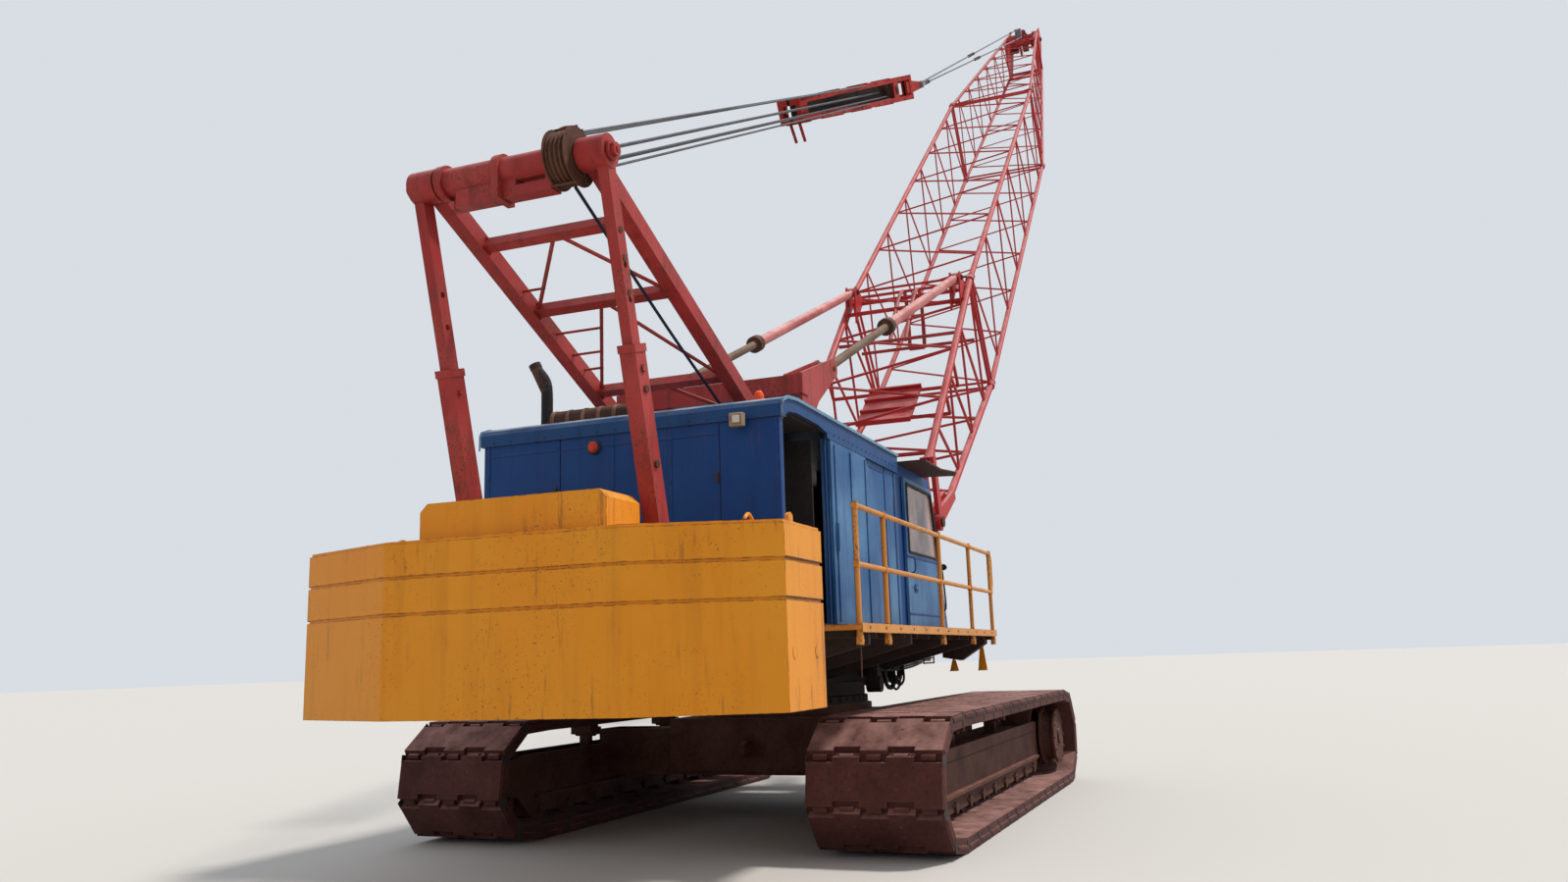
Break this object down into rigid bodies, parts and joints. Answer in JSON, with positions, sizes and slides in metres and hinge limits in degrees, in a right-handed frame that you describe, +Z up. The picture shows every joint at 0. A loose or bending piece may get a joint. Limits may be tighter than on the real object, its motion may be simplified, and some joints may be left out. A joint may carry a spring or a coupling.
{
  "type": "crawler crane",
  "caption": "Tracked lattice boom crane with a turning upper works, machinery house, cab, stacked counterweight, rear gantry, floating stay frame and telescoping backstops.",
  "frame": {"origin": "on the ground under the swing axis, which is the mount swing_axis", "axes": "+X forward, the way the boom points at rest, +Y to the crane's left, +Z up"},
  "size_m": [30.439, 5.3598, 22.1151],
  "materials": {
    "red_paint": "sun-faded coral red paint with rust at the joints",
    "blue_paint": "weathered blue paint, dusty and rusty at the edges",
    "ochre_paint": "faded ochre yellow paint, scratched",
    "rusty_iron": "dark rusty iron with dry dust on top",
    "dark_steel": "dark greasy paint with dust",
    "dusty_glass": "dusty flat safety glass",
    "seat_cover": "worn black seat cover"
  },
  "bodies": {
    "undercarriage": {"carbody": "rusty_iron", "swing_ring": "dark_steel", "track_frame_left": "rusty_iron", "track_frame_right": "rusty_iron", "track_left": "rusty_iron", "track_right": "rusty_iron", "track_wheels": "rusty_iron", "track_rollers": "dark_steel"},
    "upper": {"main_frame": "dark_steel", "deck": "dark_steel", "walkways": "ochre_paint", "handrails": "ochre_paint", "counterweight_lower": "ochre_paint", "counterweight_middle": "ochre_paint", "counterweight_upper": "ochre_paint", "counterweight_centre": "ochre_paint", "house_rear_wall": "blue_paint", "house_side_walls": "blue_paint", "house_front_wall": "blue_paint", "house_roof": "blue_paint", "engine": "dark_steel", "muffler": "rusty_iron", "winch_stand": "dark_steel", "door_rail": "dark_steel", "cab_shell": "blue_paint", "cab_glass": "dusty_glass", "cab_seat": "seat_cover", "visor": "rusty_iron", "gantry_front": "red_paint", "gantry_rear_outer": "red_paint", "gantry_rear_inner": "red_paint", "peak_beam": "red_paint", "backstop_stand": "red_paint"},
    "house_door": {"house_door": "blue_paint"},
    "cab_door": {"cab_door": "blue_paint", "cab_door_glass": "dusty_glass"},
    "winch_drum": {"winch_drum": "dark_steel"},
    "peak_sheaves": {"peak_sheaves": "rusty_iron"},
    "rope_guard": {"rope_guard": "rusty_iron"},
    "boom": {"boom_base": "red_paint", "boom_insert": "red_paint", "boom_tip": "red_paint"},
    "head_sheaves": {"head_sheaves": "rusty_iron"},
    "backstop_tube_left": {"backstop_tube_left": "red_paint"},
    "backstop_tube_right": {"backstop_tube_right": "red_paint"},
    "backstop_rod_left": {"backstop_rod_left": "rusty_iron"},
    "backstop_rod_right": {"backstop_rod_right": "rusty_iron"},
    "bridle": {"bridle": "red_paint"},
    "bridle_sheaves": {"bridle_sheaves": "rusty_iron"},
    "pendants": {"pendants": "dark_steel"}
  },
  "joints": [
    {"name": "swing", "type": "hinge", "parent": "undercarriage", "child": "upper", "pos_m": [0, 0, 1.18], "axis": [0, 0, 1], "continuous": true},
    {"name": "boom_luff", "type": "hinge", "parent": "upper", "child": "boom", "pos_m": [3.2, 0, 3.335], "axis": [0, -1, 0], "range_deg": [-9.4, 40.6]},
    {"name": "head_sheaves_turn", "type": "hinge", "parent": "boom", "child": "head_sheaves", "pos_m": [24.49627, 0, 21.69501], "axis": [0, 1, 0], "continuous": true},
    {"name": "winch_turn", "type": "hinge", "parent": "upper", "child": "winch_drum", "pos_m": [0.25, 0, 2.38], "axis": [0, 1, 0], "continuous": true},
    {"name": "peak_sheaves_turn", "type": "hinge", "parent": "upper", "child": "peak_sheaves", "pos_m": [-5.4, -0.495, 5.17], "axis": [0, 1, 0], "continuous": true},
    {"name": "stay_swing", "type": "hinge", "parent": "upper", "child": "rope_guard", "pos_m": [-5.4, 0, 5.17], "axis": [0, -1, 0], "range_deg": [-8, 34.3]},
    {"name": "stay_haul", "type": "slide", "parent": "rope_guard", "child": "bridle", "axis": [0.8842, 0, 0.4672], "range_m": [-5, 1.2]},
    {"name": "bridle_sheaves_turn", "type": "hinge", "parent": "bridle", "child": "bridle_sheaves", "pos_m": [5.7848, 0, 11.07955], "axis": [0, 1, 0], "continuous": true},
    {"name": "pendant_swing", "type": "hinge", "parent": "boom", "child": "pendants", "pos_m": [23.39348, 0, 21.4621], "axis": [0, -1, 0], "range_deg": [-7.1, 1.7]},
    {"name": "backstop_left_swing", "type": "hinge", "parent": "boom", "child": "backstop_tube_left", "pos_m": [6.10026, 0.9, 7.69728], "axis": [0, -1, 0], "range_deg": [-16.7, 3.9]},
    {"name": "backstop_left_slide", "type": "slide", "parent": "backstop_tube_left", "child": "backstop_rod_left", "axis": [-0.9131, 0, -0.4076], "range_m": [-2.35, 0.55]},
    {"name": "backstop_right_swing", "type": "hinge", "parent": "boom", "child": "backstop_tube_right", "pos_m": [6.10026, -0.9, 7.69728], "axis": [0, -1, 0], "range_deg": [-16.7, 3.9]},
    {"name": "backstop_right_slide", "type": "slide", "parent": "backstop_tube_right", "child": "backstop_rod_right", "axis": [-0.9131, 0, -0.4076], "range_m": [-2.35, 0.55]},
    {"name": "house_door_slide", "type": "slide", "parent": "upper", "child": "house_door", "axis": [1, 0, 0], "range_m": [-1.07, 0]},
    {"name": "cab_door_slide", "type": "slide", "parent": "upper", "child": "cab_door", "axis": [-1, 0, 0], "range_m": [0, 0.9]}
  ],
  "couplings": [
    {"joint": "stay_swing", "follows": "boom_luff", "ratio": 0.842},
    {"joint": "stay_haul", "follows": "boom_luff", "m_per_rad": -7.0046},
    {"joint": "pendant_swing", "follows": "boom_luff", "ratio": -0.1718},
    {"joint": "backstop_left_swing", "follows": "boom_luff", "ratio": -0.40746},
    {"joint": "backstop_left_slide", "follows": "boom_luff", "m_per_rad": -3.2632},
    {"joint": "backstop_right_swing", "follows": "boom_luff", "ratio": -0.40746},
    {"joint": "backstop_right_slide", "follows": "boom_luff", "m_per_rad": -3.2632}
  ]
}
